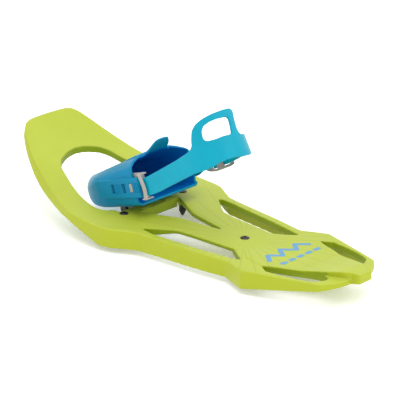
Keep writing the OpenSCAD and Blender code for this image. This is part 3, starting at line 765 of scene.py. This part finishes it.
def strap_f(s, y, h):
    u, v = strap_uv(s, y)
    d2 = D_SIL(u, h)
    dh = D_HOLE(u, h)
    # the handle thins a little towards its top, the leg thins towards the slider
    half_t = ST / 2 - 0.25 * smooth01(h, 18, 40) - 0.35 * smooth01(u, 122, 150)
    band = both(d2, np.abs(v) - half_t, 1.1)
    band = both(band, -dh, 1.1)
    # end bead under the clip's bar
    bead = box_sd(s, y, h, (-3, 46.6, -8.8), (0.8, 50.4, 8.8), 0.9)
    band = either(band, bead, 0.6)
    # tail through the slider
    d = np.full(np.broadcast(s, y, h).shape if np.ndim(s) > 1 else np.shape(s), 1e3, F32)
    s2, y2 = np.broadcast_arrays(s, y)
    t2 = np.full(s2.shape, 1e6, F32)
    for (a0, a1), (b0, b1) in zip(tailp[:-1], tailp[1:]):
        ex, ey = b0 - a0, b1 - a1
        t = np.clip(((s2 - a0) * ex + (y2 - a1) * ey) / (ex * ex + ey * ey), 0, 1)
        t2 = np.minimum(t2, (s2 - a0 - ex * t) ** 2 + (y2 - a1 - ey * t) ** 2)
    rib = np.sqrt(t2) - 1.1
    tail = both(rib, np.abs(h - 0.1) - 8.1, 0.6)
    band = np.where(s < 38, np.where(y < 0, np.maximum(band, 36 - s), band), band)
    return smin(band, tail, 0.8)


VS = 0.8
strap, PS, NS = build("strap", strap_f, (-4, -54, -13), (108, 52, 47), VS, STRAP, "strap", M_STRAP)
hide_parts("heel_strap")

# --- clip and slider ---------------------------------------------------------------
bar_poly = rounded([(-12.6, 36), (-17, 36), (-20.2, 28), (-21.8, 21), (-22, 14), (-21, 7.2), (-15.6, 7.2), (-16.4, 14), (-16.2, 21), (-14.8, 28)],
                   [1.2, 3, 12, 12, 12, 2.5, 1.2, 12, 12, 12], 6)
D_BAR = Field([bar_poly], (-30, 0), (0, 44), 0.3)


def clip_f(f, y, w):
    bar = both(D_BAR(f, w), np.abs(y - 51.5) - 0.95, 0.85)
    plate = both(box_sd(f, y, w, (-13, 41.6, 8.2), (5, 43.2, 36), 0.6), -box_sd(f, y, w, (-9, 40, 13), (-1, 45, 31), 1.5), 0.3)
    top = box_sd(f, y, w, (-17, 41.6, 34.3), (-12, 52.4, 36.1), 0.7)
    bot = box_sd(f, y, w, (-21, 41.6, 7.1), (-13, 52.4, 8.9), 0.7)
    peg = box_sd(f, y, w, (3.9, 41.6, 15.7), (8.1, 48.5, 25.3), 0.6)
    tie = box_sd(f, y, w, (3, 41.6, 15.7), (8.1, 43.2, 25.3), 0.5)
    d = either(plate, top, 1.0)
    d = either(d, bot, 1.0)
    d = either(d, bar, 1.0)
    d = either(d, tie, 0.4)
    return either(d, peg, 0.6)


clip, _, _ = build("clip", clip_f, (-23, 41, 6.5), (13, 53, 37), 0.42, CUP, "binding", M_CLIP)
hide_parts("strap_clip_left")

sl_poly = rounded([(-5, -6), (0, -9), (10, -11.4), (34, -12), (42, -10.8), (42, 12.4), (34, 13), (10, 11.6), (0, 9), (-5, 6)],
                  [4, 6, 10, 10, 2.5, 2.5, 10, 10, 6, 4], 6)
sl_h1 = rounded([(7, -8.4), (14, -8.8), (14, 9), (7, 8.6)], 1.6, 5)
sl_h2 = rounded([(25, -8.8), (36, -8.8), (36, 9.6), (25, 9.4)], 1.6, 5)
D_SL = Field([sl_poly], (-12, -20), (50, 20), 0.3)
D_SLH = Field([sl_h1, sl_h2], (-12, -20), (50, 20), 0.3)


def slider_f(s, y, h):
    d = both(D_SL(s, h), np.abs(y + 49.5) - 0.8, 0.6)
    d = both(d, -D_SLH(s, h), 0.5)
    return np.maximum(d, 2.56 - np.sqrt(s * s + h * h))


slider, _, _ = build("slider", slider_f, (-6, -51, -13), (43, -48, 14), 0.42, STRAP, "strap", M_CLIP)
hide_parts("strap_slider_right")

# --- carried-over CAD nodes -------------------------------------------------------
LOOK = {"axle": M_STEEL, "buckle_rivet_right": M_RIVET}
for name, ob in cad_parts.items():
    if ob.hide_render:
        continue
    m = LOOK.get(name)
    if m is None:
        if "spike" in name or "screw" in name:
            m = M_BLACKS
        elif "bush" in name or "washer" in name:
            m = M_BEAR
        elif "cap" in name:
            m = M_BLACKP
        else:
            m = M_RUBBER
    ob.data.materials.clear()
    ob.data.materials.append(m)
    bv = ob.modifiers.new("edge", "BEVEL")
    bv.width = 0.0003
    bv.segments = 2
    bv.limit_method = "ANGLE"
    bv.angle_limit = math.radians(40)

# --- generic printed graphic on the rear plate -----------------------------------------


def plate_top(x, y):
    """Height of the plate's top at (x, y), found on the deck's own field."""
    x, y = np.asarray(x, F32), np.asarray(y, F32)
    lo = np.full(x.shape, 17.0, F32)
    hi = np.full(x.shape, 34.0, F32)
    for _ in range(22):
        mid = (lo + hi) / 2
        inside = deck_f(x, y, mid) < 0
        lo = np.where(inside, mid, lo)
        hi = np.where(inside, hi, mid)
    return (lo + hi) / 2


def ribbon(path, width, n_per=6):
    """Points along a path on the plate, n_per to each leg, with their sideways normals and the band's width."""
    pts = []
    for (x0, y0), (x1, y1) in zip(path[:-1], path[1:]):
        for k in range(n_per):
            t = k / n_per
            pts.append((x0 + (x1 - x0) * t, y0 + (y1 - y0) * t))
    pts.append(path[-1])
    pts = np.array(pts, float)
    tang = np.gradient(pts, axis=0)
    tang /= np.linalg.norm(tang, axis=1)[:, None]
    nor = np.stack([-tang[:, 1], tang[:, 0]], 1)
    return pts, nor, width


V, Qd = [], []


def add_ribbon(path, width, n_per=6):
    pts, nor, w = ribbon(path, width, n_per)
    rows = [pts + nor * (w * t) for t in (-0.5, -0.17, 0.17, 0.5)]
    A = np.stack(rows, 1)
    n, m = A.shape[:2]
    z = plate_top(A[..., 0].ravel(), A[..., 1].ravel()).reshape(n, m)
    base = len(V)
    for lift in (0.09, -0.25):
        for i in range(n):
            for j in range(m):
                V.append((A[i, j, 0], A[i, j, 1], z[i, j] + lift))
    nm = n * m
    for i in range(n - 1):
        for j in range(m - 1):
            a, b2, c2, d2 = i * m + j, (i + 1) * m + j, (i + 1) * m + j + 1, i * m + j + 1
            Qd.append((base + a, base + b2, base + c2, base + d2))
            Qd.append((base + nm + d2, base + nm + c2, base + nm + b2, base + nm + a))
        for j, flip in ((0, 1), (m - 1, 0)):
            a, b2 = i * m + j, (i + 1) * m + j
            q = (base + a, base + b2, base + nm + b2, base + nm + a)
            Qd.append(q[::-1] if flip else q)
    for i, flip in ((0, 0), (n - 1, 1)):
        for j in range(m - 1):
            a, b2 = i * m + j, i * m + j + 1
            q = (base + a, base + b2, base + nm + b2, base + nm + a)
            Qd.append(q[::-1] if flip else q)


# three peaks over a row of short bars, made of plain strokes
add_ribbon([(-150, 33), (-136, 21), (-149, 11), (-134, 0), (-149, -11), (-136, -21), (-150, -32)], 5.2, 8)
for yb in (26, 13, 0, -13, -26):
    add_ribbon([(-163.5, yb + 4.6), (-163.5, yb - 4.6)], 5.4, 4)
gr = mesh_object("plate_graphic", DECK[0](np.array(V)), np.array(Qd))
gr.data.materials.append(M_PRINT)
gr.data.polygons.foreach_set("use_smooth", np.zeros(len(gr.data.polygons), bool))
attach(gr, "frame")

# --- stage, light, camera -----------------------------------------------------------
scene = bpy.context.scene
fm = bpy.data.meshes.new("floor")
S = 6.0
fm.from_pydata([(-S, -S, 0), (S, -S, 0), (S, S, 0), (-S, S, 0)], [], [(0, 1, 2, 3)])
floor = bpy.data.objects.new("floor", fm)
scene.collection.objects.link(floor)
mf, ntf, bf = new_mat("floor_white")
nf = noise(ntf, 3, 2, 0.5, obj_coords(ntf))
rf_ = ramp(ntf, nf.outputs["Fac"], [(0.3, (0.90, 0.90, 0.90)), (0.7, (0.92, 0.92, 0.92))])
link(ntf, rf_.outputs["Color"], bf.inputs["Base Color"])
bf.inputs["Roughness"].default_value = 0.9
bf.inputs["Specular IOR Level"].default_value = 0.0
bf.inputs["Emission Color"].default_value = (1.0, 1.0, 1.0, 1)
bf.inputs["Emission Strength"].default_value = 0.25
fm.materials.append(mf)

world = bpy.data.worlds.new("studio")
scene.world = world
world.use_nodes = True
bg = world.node_tree.nodes["Background"]
bg.inputs["Color"].default_value = (1.0, 1.0, 1.0, 1)
bg.inputs["Strength"].default_value = 1.12


def area(name, loc, target, size, power, col=(1, 1, 1)):
    l = bpy.data.lights.new(name, "AREA")
    l.shape = "RECTANGLE"
    l.size, l.size_y = size
    l.energy = power
    l.color = col
    o = bpy.data.objects.new(name, l)
    o.location = loc
    o.rotation_mode = "QUATERNION"
    o.rotation_quaternion = (Vector(target) - Vector(loc)).to_track_quat("-Z", "Y")
    scene.collection.objects.link(o)
    return o


area("key", (-0.4, 0.3, 2.2), (0, 0, 0), (2.0, 2.0), 17)
area("side", (-1.6, -0.6, 1.1), (0, 0, 0.05), (1.2, 1.0), 5)

cam_d = bpy.data.cameras.new("camera")
cam_d.sensor_width = 36
cam_d.lens = 180
cam_d.clip_start, cam_d.clip_end = 0.1, 20
cam = bpy.data.objects.new("camera", cam_d)
az, el, dist = 0.8053023774, 0.3765280952, 2.178193623
tgt = Vector((-0.01755950928 + OX / 1000, 0, 0.0444009562 + OZ / 1000))
back = Vector((-math.cos(az) * math.cos(el), math.sin(az) * math.cos(el), math.sin(el)))
cam.location = tgt + back * dist
cam.rotation_mode = "QUATERNION"
cam.rotation_quaternion = (-back).to_track_quat("-Z", "Y")
scene.collection.objects.link(cam)
scene.camera = cam
scene.view_settings.view_transform = "Standard"
scene.view_settings.look = "None"

bpy.context.view_layer.update()
